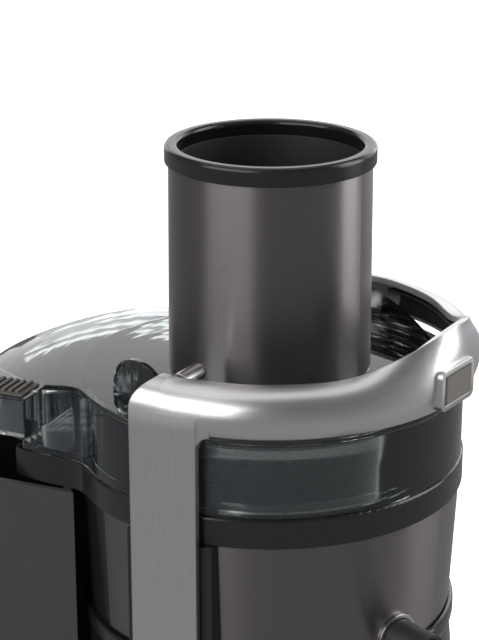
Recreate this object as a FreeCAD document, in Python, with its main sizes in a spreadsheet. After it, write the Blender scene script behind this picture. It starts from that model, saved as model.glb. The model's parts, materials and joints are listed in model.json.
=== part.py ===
import FreeCAD, Part
import Sketcher
import math
import os

# A centrifugal juicer: motor base, filter bowl, spinning basket, lid with feed chute,
# locking arm, control knob and a pulp bin at its side.  Millimetres, +Z up.
# The model is drawn about the axis of the feed chute, standing on z = 0, and is moved at
# the end so that its origin is the middle of its footprint.
# +X is the side that the locking arm opens towards, -X is the pulp side, -Y the front.

doc = FreeCAD.newDocument("juicer")
sheet = doc.addObject("Spreadsheet::Sheet", "Sizes")

DRIVING = {
    # heights
    "body_height": 222.0,         # table to the lower edge of the black band
    "foot_height": 6.0,
    "band_height": 12.5,
    "lid_height": 46.6,           # band's lower edge to the lid's flange
    "lid_rise": 2.8,              # flange to the foot of the chute
    "chute_height": 136.8,        # band's lower edge to the chute's rim
    "rim_height": 7.7,
    "cladding_height": 55.5,
    # the round body
    "foot_radius": 84.5,
    "waist_radius": 80.2,
    "bead_radius": 81.8,
    "cladding_top_radius": 82.4,
    "cladding_bottom_radius": 79.8,
    "band_radius": 83.7,
    "bowl_radius": 82.8,
    "lid_radius": 83.6,
    "housing_wall": 2.6,
    "steel_gauge": 0.6,
    "bowl_wall": 2.2,
    "lid_wall": 2.4,
    "skin_gap": 0.2,              # between nested shells of the standing body
    # the feed chute
    "chute_bore": 37.9,
    "sleeve_top_radius": 42.4,
    "sleeve_bottom_radius": 43.0,
    "rim_radius": 44.0,
    "chute_depth": 6.0,           # chute below the band's lower edge
    # the locking arm
    "arm_radius": 89.5,
    "arm_gauge": 2.8,
    "arm_base": 47.8,             # arm's lower edge above the band's lower edge
    "arm_shoulder": 67.2,         # arm's upper edge above the same
    "arm_neck_radius": 77.0,
    "thumb_rise": 14.0,
    "leg_width": 29.7,
    "leg_shift": 2.55,
    "pivot_height": 75.0,
    "pin_radius": 5.0,
    "liner_gauge": 1.1,
    # the pulp side
    "pulp_turn": 8.0,             # degrees about the chute's axis
    "neck_half_width": 54.0,
    "neck_centre": 75.0,
    "neck_crook": 20.0,           # the hollow round between the neck and the round bowl
    "grip_reach": 73.0,           # lid's grip, forward from the pulp side's middle
    "hood_radius": 135.0,         # how sharply the lid falls away past hood_start
    "hood_start": 72.0,
    "bin_half_width": 57.0,
    "bin_near": 64.0,             # bin's near corners, back from the chute's axis
    "bin_reach": 142.0,
    "bin_corner": 42.0,
    "bin_gap": 1.5,               # bin's rim below the band
    "bin_clearance": 2.8,
    "bin_wall": 2.5,
    # the juice side
    "spout_turn": -19.0,
    "spout_bore": 6.5,
    "spout_wall": 1.8,
    "spout_drop": 50.5,           # spout's axis below the band's lower edge
    "spout_reach": 112.0,
    "bowl_depth": 62.0,
    # the spinning parts
    "shaft_radius": 4.0,
    "bearing_clearance": 0.04,
    "rotor_radius": 22.0,
    "air_gap": 0.6,
    "basket_floor_radius": 44.0,
    "basket_rim_radius": 72.0,
    "basket_depth": 24.0,         # basket's floor below the band's lower edge
    "basket_top": 38.0,           # basket's rim above the band's lower edge
    "mesh_gauge": 0.8,
    # the control
    "knob_turn": -58.0,
    "knob_height": 48.0,
    "knob_radius": 17.0,
    "knob_length": 15.0,
}


class Size:
    """A number together with the sheet expression that gives it."""

    def __init__(self, value, text):
        self.value = value
        self.text = text

    def __add__(self, other):
        other = size(other)
        return Size(self.value + other.value, f"({self.text} + {other.text})")

    def __radd__(self, other):
        return size(other) + self

    def __sub__(self, other):
        other = size(other)
        return Size(self.value - other.value, f"({self.text} - {other.text})")

    def __rsub__(self, other):
        return size(other) - self

    def __mul__(self, factor):
        factor = size(factor)
        return Size(self.value * factor.value, f"({self.text} * {factor.text})")

    def __rmul__(self, factor):
        return self * factor

    def __truediv__(self, factor):
        factor = size(factor)
        return Size(self.value / factor.value, f"({self.text} / {factor.text})")

    def __neg__(self):
        return Size(-self.value, f"(-1 * {self.text})")


def size(number):
    return number if isinstance(number, Size) else Size(float(number), repr(float(number)))


sizes = {}
for row, (alias, number) in enumerate(DRIVING.items(), start=1):
    sheet.set(f"A{row}", alias)
    sheet.set(f"B{row}", str(number))
    sheet.setAlias(f"B{row}", alias)
    sizes[alias] = Size(number, f"Sizes.{alias}")
doc.recompute()


def at(alias):
    return sizes[alias]


X_AXIS = FreeCAD.Vector(1, 0, 0)
Y_AXIS = FreeCAD.Vector(0, 1, 0)
Z_AXIS = FreeCAD.Vector(0, 0, 1)
MARGIN = 1.0                       # how far a cutting tool passes the face that it cuts

top = at("body_height")            # the band's lower edge, which most heights are counted from
nodes = {}


# ---------------------------------------------------------------- helpers

def bind(thing, **properties):
    for name, amount in properties.items():
        thing.setExpression(name, size(amount).text)


def number(amount):
    return size(amount).value


def place(thing, x=0, y=0, z=0, turn=0, axis=Z_AXIS):
    """Put an object at x, y, z after turning it about an axis."""
    spot = FreeCAD.Vector(number(x), number(y), number(z))
    thing.Placement = FreeCAD.Placement(spot, FreeCAD.Rotation(axis, number(turn)))
    return thing


def turned(thing, degrees):
    """Turn an object about the chute's axis, over the place that it already has."""
    spin = FreeCAD.Placement(FreeCAD.Vector(), FreeCAD.Rotation(Z_AXIS, number(degrees)))
    thing.Placement = spin * thing.Placement
    return thing


def cylinder(name, radius, height, z=0, sweep=360):
    thing = doc.addObject("Part::Cylinder", name)
    bind(thing, Radius=radius, Height=height, Angle=sweep)
    return place(thing, z=z)


def cone(name, low_radius, high_radius, height, z=0):
    thing = doc.addObject("Part::Cone", name)
    bind(thing, Radius1=low_radius, Radius2=high_radius, Height=height)
    return place(thing, z=z)


def box(name, x, y, z):
    """A box between pairs of limits along each axis."""
    thing = doc.addObject("Part::Box", name)
    bind(thing, Length=size(x[1]) - x[0], Width=size(y[1]) - y[0], Height=size(z[1]) - z[0])
    return place(thing, x[0], y[0], z[0])


def lying(name, radius, start, length, turn, height):
    """A cylinder whose axis points away from the chute's axis, from start outwards."""
    thing = doc.addObject("Part::Cylinder", name)
    bind(thing, Radius=radius, Height=length)
    lie = FreeCAD.Placement(FreeCAD.Vector(number(start), 0, number(height)),
                            FreeCAD.Rotation(Y_AXIS, 90))
    thing.Placement = lie
    return turned(thing, turn)


def crossways(name, radius, low, high, x, z):
    """A cylinder whose axis runs along Y between two limits."""
    thing = doc.addObject("Part::Cylinder", name)
    bind(thing, Radius=radius, Height=size(high) - low)
    spot = FreeCAD.Vector(number(x), number(high), number(z))
    thing.Placement = FreeCAD.Placement(spot, FreeCAD.Rotation(X_AXIS, 90))
    return thing


def cut(name, base, *tools):
    """Take one or more tools away from a base."""
    result = base
    for index, tool in enumerate(tools):
        step = doc.addObject("Part::Cut", name if index == len(tools) - 1 else f"{name}_cut{index}")
        step.Base = result
        step.Tool = tool
        result = step
    return result


def fuse(name, *things):
    joined = doc.addObject("Part::MultiFuse", name)
    joined.Shapes = list(things)
    return joined


def common(name, *things):
    shared = doc.addObject("Part::MultiCommon", name)
    shared.Shapes = list(things)
    return shared


def group(name, *things):
    """Separate solids that share one node, such as a set of screws."""
    together = doc.addObject("Part::Compound", name)
    together.Links = list(things)
    return together


def plane_of(body, role):
    return next(part for part in body.Origin.OriginFeatures if part.Role == role)


def outline(body, role, name, points):
    """A closed outline of straight sides; every corner is held by the sheet."""
    sketch = body.newObject("Sketcher::SketchObject", name)
    sketch.AttachmentSupport = [(plane_of(body, role), "")]
    sketch.MapMode = "FlatFace"
    spots = [FreeCAD.Vector(number(u), number(v), 0) for u, v in points]
    for index, spot in enumerate(spots):
        sketch.addGeometry(Part.LineSegment(spot, spots[(index + 1) % len(spots)]), False)
    for index in range(len(spots)):
        sketch.addConstraint(
            Sketcher.Constraint("Coincident", index, 2, (index + 1) % len(spots), 1))
    for index, pair in enumerate(points):
        for kind, amount in zip(("DistanceX", "DistanceY"), pair):
            amount = size(amount)
            ends = (-1, 1, index, 1)
            if amount.value < 0:
                amount = -amount
                ends = (index, 1, -1, 1)
            held = sketch.addConstraint(Sketcher.Constraint(kind, *ends, amount.value))
            sketch.setExpression(f"Constraints[{held}]", amount.text)
    return sketch


def revolved(name, points):
    """A body turned about the chute's axis from its half section (radius, height)."""
    body = doc.addObject("PartDesign::Body", name)
    sketch = outline(body, "XZ_Plane", f"{name}_section", points)
    turn = body.newObject("PartDesign::Revolution", f"{name}_turn")
    turn.Profile = sketch
    turn.ReferenceAxis = (sketch, ["V_Axis"])
    turn.Angle = 360.0
    return body


def padded(name, role, points, length, both_ways=False):
    """A body pushed out from an outline on one of its own origin planes."""
    body = doc.addObject("PartDesign::Body", name)
    sketch = outline(body, role, f"{name}_outline", points)
    pad = body.newObject("PartDesign::Pad", f"{name}_pad")
    pad.Profile = sketch
    bind(pad, Length=length)
    pad.Midplane = both_ways
    return body


def rounded(name, base, radius, picks):
    """Round the edges of a base that a test picks out."""
    doc.recompute()
    fillet = doc.addObject("Part::Fillet", name)
    fillet.Base = base
    amount = number(radius)
    fillet.Edges = [(index, amount, amount)
                    for index, edge in enumerate(base.Shape.Edges, start=1) if picks(edge)]
    return fillet


def ring_edge(radius, height):
    """A test for the whole circle of an edge with this radius at this height."""
    def picks(edge):
        curve = edge.Curve
        if curve.TypeId != "Part::GeomCircle":
            return False
        return (abs(curve.Radius - number(radius)) < 0.01
                and abs(curve.Center.z - number(height)) < 0.01)
    return picks


def upright_edge(edge):
    """A test for straight upright edges."""
    if edge.Curve.TypeId != "Part::GeomLine":
        return False
    return abs(abs(edge.tangentAt(edge.FirstParameter).z) - 1) < 1e-6


def tube(name, outer, inner, low, high):
    height = size(high) - low
    hole = cylinder(f"{name}_hole", inner, height + 2 * MARGIN, size(low) - MARGIN)
    return cut(name, cylinder(f"{name}_outside", outer, height, low), hole)


def spread(count, start=0.0):
    return [start + 360.0 * index / count for index in range(count)]


def node(thing, name):
    """Name a finished sub-part; its label is the name of its file."""
    thing.Label = name
    nodes[name] = thing
    return thing


# ---------------------------------------------------------------- heights and radii in use

housing_top = top                              # the band sits on the housing
cladding_low = top - at("cladding_height")
lid_flange = top + at("lid_height")
lid_crown = lid_flange + at("lid_rise")
band_top = top + at("band_height")
bowl_ledge = band_top + 0.1
bowl_edge = lid_flange - at("lid_wall") - 1.0
bowl_floor = top - at("bowl_depth")
deck_top = bowl_floor - 2.0 - at("lid_wall")
deck_low = deck_top - 4.0
rim_low = top + at("chute_height")
rim_top = rim_low + at("rim_height")
spout_height = top - at("spout_drop")
spout_radius = at("spout_bore") + at("spout_wall")
arch_radius = spout_radius + 2.0
cladding_inner_top = at("cladding_top_radius") - at("steel_gauge")
cladding_inner_low = at("cladding_bottom_radius") - at("steel_gauge")
sleeve_inner_top = at("sleeve_top_radius") - at("steel_gauge")
sleeve_inner_low = at("sleeve_bottom_radius") - at("steel_gauge")
housing_inner = cladding_inner_low - at("skin_gap") - at("housing_wall")


# ---------------------------------------------------------------- the standing body

def base_housing():
    wall = at("housing_wall")
    gap = at("skin_gap")
    shell = revolved("housing_shell", [
        (at("foot_radius") - wall, at("foot_height")),
        (at("foot_radius"), at("foot_height")),
        (at("foot_radius"), at("foot_height") + 14),
        (at("waist_radius") + 1.2, cladding_low - 24),
        (at("waist_radius"), cladding_low - 12),
        (at("bead_radius"), cladding_low - 8),
        (at("bead_radius"), cladding_low - 1.5),
        (cladding_inner_low - gap, cladding_low - 1.5),
        (cladding_inner_top - gap, housing_top),
        (cladding_inner_top - gap - wall, housing_top),
        (housing_inner, cladding_low - 1.5),
        (housing_inner, cladding_low - 24),
        (at("foot_radius") - wall, at("foot_height") + 14)])
    softened = rounded("housing_soft", shell, 1.6, lambda edge: (
        ring_edge(at("bead_radius"), cladding_low - 8)(edge)
        or ring_edge(at("bead_radius"), cladding_low - 1.5)(edge)
        or ring_edge(at("waist_radius"), cladding_low - 12)(edge)
        or ring_edge(at("foot_radius"), at("foot_height"))(edge)))
    bosses = [crossways(f"pivot_boss_{side}", at("pin_radius") + 9,
                        *sorted((side * (housing_inner.value - 8), side * pivot_face.value)),
                        at("leg_shift"), at("pivot_height")) for side in (-1, 1)]
    posts = [turned(place(cylinder(f"screw_post_{index}", 4.2, 26), post_ring, 0,
                          plate_top), angle)
             for index, angle in enumerate(spread(4, 45))]
    seat = lying("dial_seat", at("knob_radius") + 7, housing_inner - 3,
                 dial_face - housing_inner + 3, at("knob_turn"), at("knob_height"))
    body = fuse("housing_body", softened, *bosses, *posts, seat)
    cuts = [crossways("pivot_bore", at("pin_radius"), -100, 100,
                      at("leg_shift"), at("pivot_height"))]
    cuts += [turned(place(cylinder(f"screw_hole_{index}", screw_radius, 27), post_ring, 0,
                          plate_top - MARGIN), angle)
             for index, angle in enumerate(spread(4, 45))]
    cuts.append(lying("knob_hole", knob_shaft_radius + 0.05, 50, 60, at("knob_turn"),
                      at("knob_height")))
    cuts.append(lying("spout_notch", arch_radius, 60, 40, at("spout_turn"), spout_height))
    cuts.append(lying("gland_hole", gland_radius, 60, 60, gland_turn, gland_height))
    cuts.append(lying("switch_pocket", at("knob_radius") + 4, 40, housing_inner - 43.5,
                      at("knob_turn"), at("knob_height")))
    return cut("housing", body, *cuts)


plate_thick = 3.0
plate_top = at("foot_height") + plate_thick
post_ring = at("foot_radius") - at("housing_wall") - 3.2
foot_ring = at("foot_radius") - at("housing_wall") - 14
screw_radius = size(1.6)
pivot_face = at("arm_radius") - at("arm_gauge") - 2.4
gland_radius = size(6.5)
gland_turn = 118
gland_height = 24
knob_shaft_radius = size(3.0)
dial_face = at("foot_radius") + 1.0


def bottom_plate():
    disc = cylinder("plate_disc", at("foot_radius") - at("housing_wall") - at("skin_gap"),
                    plate_thick, at("foot_height"))
    holes = [turned(place(cylinder(f"plate_hole_{index}", screw_radius + 0.3, 6), post_ring, 0,
                          at("foot_height") - MARGIN), angle)
             for index, angle in enumerate(spread(4, 45))]
    slots = [turned(box(f"plate_slot_{index}", (24, 52), (-1.6, 1.6),
                        (at("foot_height") - MARGIN, plate_top + MARGIN)), angle)
             for index, angle in enumerate(spread(10, 9))]
    return cut("plate", disc, *holes, *slots)


def rubber_feet():
    feet = []
    for index, angle in enumerate(spread(4, 20)):
        pad = cone(f"foot_pad_{index}", 8.0, 9.5, at("foot_height"))
        feet.append(turned(place(pad, foot_ring), angle))
    return group("feet", *feet)


def base_screws():
    screws = []
    for index, angle in enumerate(spread(4, 45)):
        head = cylinder(f"screw_head_{index}", 3.2, 2.2, at("foot_height") - 2.2)
        shank = cylinder(f"screw_shank_{index}", screw_radius - 0.05, 18, at("foot_height") - 2.2)
        slot = box(f"screw_slot_{index}", (-4, 4), (-0.5, 0.5),
                   (at("foot_height") - 3.2, at("foot_height") - 1.2))
        screw = cut(f"screw_{index}", fuse(f"screw_body_{index}", head, shank), slot)
        screws.append(turned(place(screw, post_ring), angle))
    return group("screws", *screws)


def steel_cladding():
    height = at("cladding_height") - at("skin_gap")
    skin = cut("cladding_skin",
               cone("cladding_out", at("cladding_bottom_radius"), at("cladding_top_radius"),
                    height, cladding_low),
               cone("cladding_in", cladding_inner_low, cladding_inner_top, height, cladding_low))
    arch = lying("cladding_arch", arch_radius, 60, 40, at("spout_turn"), spout_height)
    dock = turned(box("cladding_dock", (-100, -dock_edge), (-100, 100),
                      (cladding_low - MARGIN, top + MARGIN)), at("pulp_turn"))
    return cut("cladding", skin, arch, dock)


dock_edge = 46.0                   # the cladding stops here and leaves the bin's side bare


def spout_trim():
    depth = 3.4
    start = at("cladding_bottom_radius") - depth + 0.6
    ring = cut("trim_ring",
               lying("trim_out", arch_radius - 0.1, start, depth + 1.6, at("spout_turn"),
                     spout_height),
               lying("trim_in", spout_radius + 0.4, start - 1, depth + 4, at("spout_turn"),
                     spout_height))
    return ring


def arm_guides():
    """Black rails behind the arm's legs that the cladding's seams run into."""
    rails = []
    wide = at("leg_width") / 2 + 5.2
    for side, lie in (("front", 180), ("back", 0)):
        block = box(f"guide_block_{side}", (-wide, wide), (60, pivot_face),
                    (at("pivot_height") + 18, top - at("skin_gap")))
        block.Placement.Base.x += at("leg_shift").value * (1 if side == "back" else -1)
        core = cone(f"guide_core_{side}", at("cladding_bottom_radius") + 0.2,
                    at("cladding_top_radius") + 0.2, at("cladding_height") + 2 * MARGIN,
                    cladding_low - MARGIN)
        lower = cone(f"guide_lower_{side}", at("foot_radius") + 0.3, at("bead_radius") + 0.3,
                     cladding_low - at("foot_height") - 14, at("foot_height") + 14)
        rails.append(turned(cut(f"guide_{side}", block, core, lower), lie))
    return group("guides", *rails)


def pivot_pins():
    reach = at("arm_radius") - 0.3
    pins = [crossways(f"pin_{side}", at("pin_radius"),
                      *sorted((side * (housing_inner.value - 8), side * reach.value)),
                      at("leg_shift"), at("pivot_height")) for side in (-1, 1)]
    return group("pins", *pins)


def collar_plan(name, out, low, high):
    """The pulp neck's plan, grown by out, between two heights, in the pulp side's own frame."""
    wide = at("neck_half_width") + out
    start = -1 * at("neck_centre")
    straight = box(f"{name}_straight", (start, 0), (-wide, wide), (low, high))
    end = place(cylinder(f"{name}_end", wide, size(high) - low), start, 0, low)
    return fuse(name, straight, end, *[crook(f"{name}_crook_{side}", side, out, low, high)
                                       for side in (-1, 1)])


def crook(name, side, out, low, high):
    """The corner between the neck and the round bowl, filled out to a hollow round."""
    hollow = at("neck_crook")
    apart = (at("bowl_radius") + hollow).value
    middle_y = (at("neck_half_width") + hollow).value
    middle_x = -math.sqrt(apart ** 2 - middle_y ** 2)
    share = (at("bowl_radius").value + number(out)) / apart
    inside = middle_y - hollow.value + number(out) - MARGIN
    block = box(f"{name}_block", (middle_x, middle_x * share),
                sorted((side * inside, side * middle_y * share)), (low, high))
    round_cut = place(cylinder(f"{name}_round", hollow - out, size(high) - low + 2 * MARGIN),
                      middle_x, side * middle_y, size(low) - MARGIN)
    return cut(name, block, round_cut)


def bowl_band():
    """The black collar on top of the housing and along the foot of the pulp neck."""
    ring = revolved("band_ring", [
        (cladding_inner_top - at("skin_gap") - at("housing_wall"), top),
        (at("band_radius"), top),
        (at("band_radius"), band_top),
        (cladding_inner_top - at("skin_gap") - at("housing_wall"), band_top)])
    low = top
    tongue = cut("band_tongue", collar_plan("tongue_plan", 0.9, low, band_top),
                 cylinder("tongue_core", at("band_radius") - 1, 60, top - 10),
                 collar_plan("tongue_hole", -2.0, low - MARGIN, band_top + MARGIN),
                 box("tongue_end", (-200, -at("neck_centre") - 22), (-90, 90),
                     (top - 10, top + 40)))
    turned(tongue, at("pulp_turn"))
    return fuse("band", rounded("band_soft", ring, 1.2, ring_edge(at("band_radius"), band_top)),
                tongue)


def hood_fill(name, drop):
    """All that lies under the hood's roof, lowered by drop: level, then falling away."""
    steps = [at("hood_start").value + 6 * index for index in range(11)]
    falls = [size((radius - steps[0]) ** 2 / 2) / at("hood_radius") for radius in steps]
    roof = [(radius, lid_flange + 0.5 - drop - fall) for radius, fall in zip(steps, falls)]
    return revolved(name, [(0, lid_flange - 60), (steps[-1], lid_flange - 60), *roof[::-1],
                           (0, lid_flange + 0.5 - drop)])


def filter_bowl():
    wall = at("bowl_wall")
    inside = cladding_inner_low - at("skin_gap") - at("housing_wall") - 0.6
    body = revolved("bowl_round", [
        (lip_radius, bowl_floor - wall),
        (inside, bowl_floor - wall),
        (inside, bowl_ledge),
        (at("bowl_radius"), bowl_ledge),
        (at("bowl_radius"), bowl_edge),
        (at("bowl_radius") - wall, bowl_edge),
        (at("bowl_radius") - wall, bowl_ledge + wall),
        (inside - wall, bowl_ledge + wall),
        (inside - wall, bowl_floor),
        (lip_radius + wall, bowl_floor),
        (lip_radius + wall, bowl_floor + 18),
        (lip_radius, bowl_floor + 18)])
    roof = hood_fill("neck_roof", at("lid_wall") + 1.0)
    walls = cut("neck_walls", collar_plan("neck_out", 0, bowl_ledge, lid_flange),
                collar_plan("neck_in", -wall, bowl_ledge + wall, lid_flange + MARGIN),
                cylinder("neck_core", at("bowl_radius") - 0.5, 60, bowl_ledge - MARGIN))
    mouth = box("neck_mouth", (-160, -at("neck_centre") - 18),
                (-at("neck_half_width") + wall, at("neck_half_width") - wall),
                (bowl_ledge - MARGIN, bowl_ledge + wall + MARGIN))
    neck = turned(common("neck", cut("neck_open", walls, mouth), roof), at("pulp_turn"))
    door = turned(box("pulp_door", (-90, -30), (-at("neck_half_width") + wall - 1,
                                                at("neck_half_width") - wall + 1),
                      (bowl_ledge + wall, lid_flange)), at("pulp_turn"))
    outlet = lying("bowl_outlet", at("spout_bore"), 60, 30, at("spout_turn"), spout_height)
    return fuse("bowl", cut("bowl_cut", body, door, outlet), neck)


lip_radius = size(19.0)


def juice_spout():
    start = housing_inner - 0.5
    reach = at("spout_reach") - start
    out = lying("spout_out", spout_radius, start, reach, at("spout_turn"), spout_height)
    hole = lying("spout_in", at("spout_bore"), start - 1, reach + 2, at("spout_turn"),
                 spout_height)
    lip = turned(box("spout_lip", (at("spout_reach") - 12, at("spout_reach") + 6), (-20, 20),
                     (spout_height + 3, spout_height + 20)), at("spout_turn"))
    return cut("spout", out, hole, lip)


def motor_deck():
    disc = cylinder("deck_disc", housing_inner - 0.2, 4, deck_low)
    return cut("deck", disc, cylinder("deck_hole", 16.5, 10, deck_low - 3))


# ---------------------------------------------------------------- the motor

bracket_top = deck_low - 9
bolt_ring = 40.0
bolt_radius = size(2.4)
stator_radius = at("rotor_radius") + at("air_gap")


def bolts_about(name, radius, height, z):
    return [turned(place(cylinder(f"{name}_{index}", radius, height), bolt_ring, 0, z), angle)
            for index, angle in enumerate(spread(4, 20))]


def motor_stator():
    ring = tube("stator_ring", 46, stator_radius, stator_low, stator_high)
    return cut("stator", ring, *bolts_about("stator_hole", bolt_radius + 0.2, 60, 70))


def bracket(name, low, pillar_low, pillar_high):
    """An end plate of the motor: a bearing seat, four windows and pillars to the stator."""
    disc = cylinder(f"{name}_disc", 47, plate_of_bracket, low)
    boss = cylinder(f"{name}_boss", 13, plate_of_bracket + boss_rise_of_bracket, low)
    pillars = bolts_about(f"{name}_pillar", 5, size(pillar_high) - pillar_low, pillar_low)
    solid = fuse(f"{name}_solid", disc, boss, *pillars)
    windows = [turned(box(f"{name}_window_{index}", (16, 32), (-9, 9), (low - 1, low + 6)), angle)
               for index, angle in enumerate(spread(4, 65))]
    return cut(name, solid, cylinder(f"{name}_seat", bearing_radius, 20, low - 5), *windows,
               *bolts_about(f"{name}_hole", bolt_radius + 0.1,
                            size(pillar_high) - pillar_low + 30, pillar_low - 15))


plate_of_bracket = 4.0
boss_rise_of_bracket = 5.0
stator_low = 78.0
stator_high = 120.0
bearing_radius = size(8.5)
lower_bracket_low = size(56.0)
upper_bracket_low = bracket_top - plate_of_bracket - boss_rise_of_bracket


def motor_bolts():
    heads = bolts_about("bolt_head", 4.2, 3, lower_bracket_low - 3)
    shanks = bolts_about("bolt_shank", bolt_radius, bracket_top - lower_bracket_low + 4,
                         lower_bracket_low - 2)
    return group("bolts", *[fuse(f"bolt_{index}", *pair)
                            for index, pair in enumerate(zip(heads, shanks))])


def motor_mounts():
    """Rubber bushes between the upper bracket and the deck."""
    mounts = []
    for index, angle in enumerate(spread(4, 65)):
        foot = bracket_top - boss_rise_of_bracket
        bush = cylinder(f"mount_{index}", 5.5, deck_low - foot, foot)
        mounts.append(turned(place(bush, 41.0, 0, foot), angle))
    return group("mounts", *mounts)


def brush_holders():
    holders = []
    for index, angle in enumerate((20, 200)):
        arm = box(f"brush_{index}", (commutator_radius + 0.3, 32), (-4, 4), (67, 76))
        foot = box(f"brush_foot_{index}", (18, 32), (-4, 4),
                   (lower_bracket_low + plate_of_bracket, 68))
        holders.append(turned(fuse(f"brush_holder_{index}", arm, foot), angle))
    return group("brushes", *holders)


commutator_radius = size(11.0)


def cord_gland():
    start = at("foot_radius") - 6
    body = fuse("gland_body",
                lying("gland_neck", gland_radius - 0.1, start, 10, gland_turn, gland_height),
                lying("gland_flange", gland_radius + 3, start + 6, 3.5, gland_turn, gland_height))
    return cut("gland", body, lying("gland_bore", 3.6, start - 1, 20, gland_turn, gland_height))


def control_switch():
    case = turned(box("switch_case", (housing_inner - 26, housing_inner - 3.2), (-12, 12),
                      (at("knob_height") - 12, at("knob_height") + 12)), at("knob_turn"))
    return cut("switch", case, lying("switch_bore", knob_shaft_radius + 0.05, 40, 60,
                                     at("knob_turn"), at("knob_height")))


def dial_plate():
    start = dial_face
    disc = lying("dial_disc", at("knob_radius") + 6, start, 1.2, at("knob_turn"),
                 at("knob_height"))
    bore = lying("dial_bore", knob_shaft_radius + 0.6, start - 1, 6, at("knob_turn"),
                 at("knob_height"))
    return cut("dial", disc, bore)


# ---------------------------------------------------------------- the spinning parts

basket_floor = top - at("basket_depth")
hub_low = basket_floor - 14
shaft_top = hub_low + 3


def motor_shaft():
    return cylinder("shaft", at("shaft_radius"), shaft_top - 50, 50)


def motor_rotor():
    return tube("rotor", at("rotor_radius"), at("shaft_radius"), 80, 118)


def commutator():
    drum = tube("commutator_drum", commutator_radius, at("shaft_radius"), 66, 77)
    slots = [turned(box(f"commutator_slot_{index}", (commutator_radius - 1.2, 14), (-0.3, 0.3),
                        (65, 78)), angle) for index, angle in enumerate(spread(12))]
    return cut("commutator_ring", drum, *slots)


def cooling_fan():
    disc = tube("fan_disc", 34, at("shaft_radius"), 123, 124.6)
    hub = tube("fan_hub", 9, at("shaft_radius"), 123, 133)
    blades = [turned(box(f"fan_blade_{index}", (8, 33), (-0.7, 0.7), (124, 132)), angle)
              for index, angle in enumerate(spread(9))]
    return fuse("fan", disc, hub, *blades)


def drive_coupling():
    """The splined hub on the shaft that carries the basket."""
    drum = tube("coupling_drum", 12, at("shaft_radius"), deck_top + 2, hub_low)
    splines = [turned(box(f"coupling_spline_{index}", (11, 13.6), (-1.5, 1.5),
                          (deck_top + 2, hub_low)), angle)
               for index, angle in enumerate(spread(6))]
    return fuse("coupling", drum, *splines)


def basket_hub():
    """The moulded foot of the basket, with the socket that sits on the coupling."""
    return revolved("hub", [
        (at("shaft_radius"), hub_low),
        (lip_radius + 8, hub_low),
        (at("basket_floor_radius"), basket_floor - 4),
        (at("basket_floor_radius") + 1.6, basket_floor),
        (at("shaft_radius"), basket_floor)])


def grater_disc():
    disc = tube("grater_plate", at("basket_floor_radius") - 3, 5, basket_floor,
                basket_floor + 1.2)
    teeth = []
    for ring, count in ((12, 8), (20, 12), (28, 16), (36, 20)):
        for index, angle in enumerate(spread(count, ring)):
            tooth = box(f"tooth_{ring}_{index}", (ring - 1.2, ring + 1.2), (-0.5, 0.5),
                        (basket_floor + 1, basket_floor + 2.8))
            teeth.append(turned(tooth, angle))
    return fuse("grater", disc, *teeth)


def basket_clip():
    """The dome nut that holds the grater disc on the shaft."""
    return revolved("clip", [
        (0, basket_floor + 1.3),
        (6, basket_floor + 1.3),
        (6, basket_floor + 4),
        (3, basket_floor + 7),
        (0, basket_floor + 7)])


def filter_basket():
    floor = at("basket_floor_radius")
    rim = at("basket_rim_radius")
    gauge = at("mesh_gauge")
    return revolved("basket", [
        (floor, basket_floor + 0.1),
        (floor + gauge, basket_floor + 0.1),
        (rim - 3 + gauge, top + at("basket_top") - 6),
        (rim - 3, top + at("basket_top") - 6)])


def basket_rim():
    rim = at("basket_rim_radius")
    high = top + at("basket_top")
    return revolved("rim_of_basket", [
        (rim - 4.5, high - 5.9),
        (rim + 0.6, high - 5.9),
        (rim + 2, high - 4),
        (rim + 2, high),
        (rim - 4.5, high)])


# ---------------------------------------------------------------- the lid and its chute

def lid():
    wall = at("lid_wall")
    inside = at("bowl_radius") - at("bowl_wall") - 0.4
    dome = revolved("lid_dome", [
        (sleeve_inner_low, lid_crown - wall),
        (inside - 2, lid_flange - wall),
        (inside - 2, lid_flange - wall - 8),
        (inside, lid_flange - wall - 8),
        (inside, lid_flange - wall),
        (at("lid_radius"), lid_flange - wall),
        (at("lid_radius"), lid_flange),
        (inside - 1, lid_flange + 0.5),
        (sleeve_inner_low, lid_crown)])
    door = turned(box("lid_door", (-90, -30), (-at("neck_half_width") + 3,
                                               at("neck_half_width") - 3),
                      (lid_flange - wall - 10, lid_flange - wall)), at("pulp_turn"))
    low = lid_flange - 30
    shell = cut("hood_shell", hood_fill("hood_over", 0), hood_fill("hood_under", wall))
    roof = common("hood_roof", collar_plan("hood_plan", 0.8, low, lid_flange + 4), shell)
    hood = cut("hood", roof, cylinder("hood_core", at("lid_radius") - 0.6, 60, low - 10))
    return fuse("lid_body", cut("lid_open", dome, door), turned(hood, at("pulp_turn")),
                turned(grip_wing(), at("pulp_turn")), lid_fins(), *lid_tabs(), *bar_webs())


bar_height = top + 62.0
bar_radius = size(3.8)
bar_near = 55.0                    # inner end of a bar, from the middle plane
bar_far = 71.5                     # outer end, just inside the arm's leg


def latch_bars():
    """Two short steel bars, inside the tops of the arm's legs, that the closed arm grips."""
    bars = []
    for side in (-1, 1):
        bar = crossways(f"latch_bar_{side}", bar_radius,
                        *sorted((side * bar_near, side * bar_far)), 0, bar_height)
        inner = side * bar_near
        bars.append(rounded(f"latch_soft_{side}", bar, 3.0, lambda edge, inner=inner: (
            abs(edge.BoundBox.YMin - inner) < 0.01 and abs(edge.BoundBox.YMax - inner) < 0.01)))
    return group("latch_bar_pair", *bars)


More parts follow.
